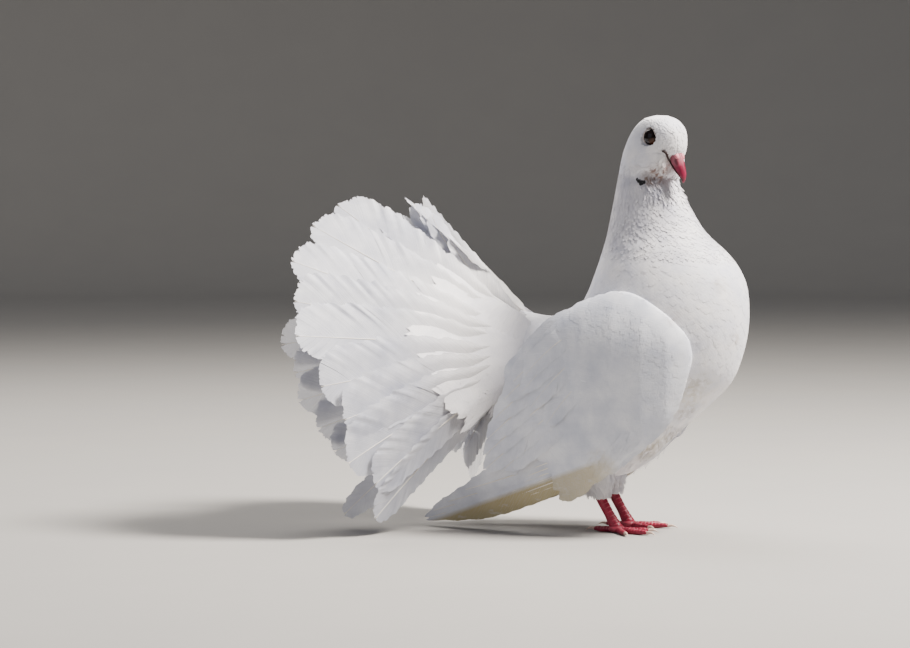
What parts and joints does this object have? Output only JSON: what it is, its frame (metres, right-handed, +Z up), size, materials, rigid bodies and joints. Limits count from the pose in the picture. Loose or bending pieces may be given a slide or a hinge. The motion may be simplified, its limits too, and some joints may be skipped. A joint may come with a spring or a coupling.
{
  "type": "fantail pigeon",
  "caption": "White fantail pigeon standing still, head turned to its right and bill down, with a raised tail fan of overlapping feathers and folded wings held low.",
  "frame": {"origin": "under the middle of the bird's box, on the ground it stands on", "axes": "+X the way the breast faces, +Y to the bird's left, +Z up"},
  "size_m": [0.3154, 0.2514, 0.2719],
  "materials": {
    "white_plumage": "matte feather",
    "tail_plumage": "matte feather",
    "red_leg_scales": "satin scales",
    "pink_bill": "satin horn",
    "horn_claw": "satin horn",
    "dark_eye": "wet gloss"
  },
  "bodies": {
    "root": {"bill_lower": "pink_bill", "bill_upper": "pink_bill", "claw_left_hind": "horn_claw", "claw_left_inner": "horn_claw", "claw_left_middle": "horn_claw", "claw_left_outer": "horn_claw", "claw_right_hind": "horn_claw", "claw_right_inner": "horn_claw", "claw_right_middle": "horn_claw", "claw_right_outer": "horn_claw", "eye_left": "dark_eye", "eye_right": "dark_eye", "head": "white_plumage", "neck": "white_plumage", "shank_left": "red_leg_scales", "shank_right": "red_leg_scales", "tail_left": "tail_plumage", "tail_middle": "tail_plumage", "tail_right": "tail_plumage", "thigh_left": "white_plumage", "thigh_right": "white_plumage", "toe_left_hind": "red_leg_scales", "toe_left_inner": "red_leg_scales", "toe_left_middle": "red_leg_scales", "toe_left_outer": "red_leg_scales", "toe_right_hind": "red_leg_scales", "toe_right_inner": "red_leg_scales", "toe_right_middle": "red_leg_scales", "toe_right_outer": "red_leg_scales", "torso": "white_plumage", "wing_left_coverts": "white_plumage", "wing_left_primaries": "white_plumage", "wing_left_secondaries": "white_plumage", "wing_right_coverts": "white_plumage", "wing_right_primaries": "white_plumage", "wing_right_secondaries": "white_plumage"}
  },
  "joints": []
}
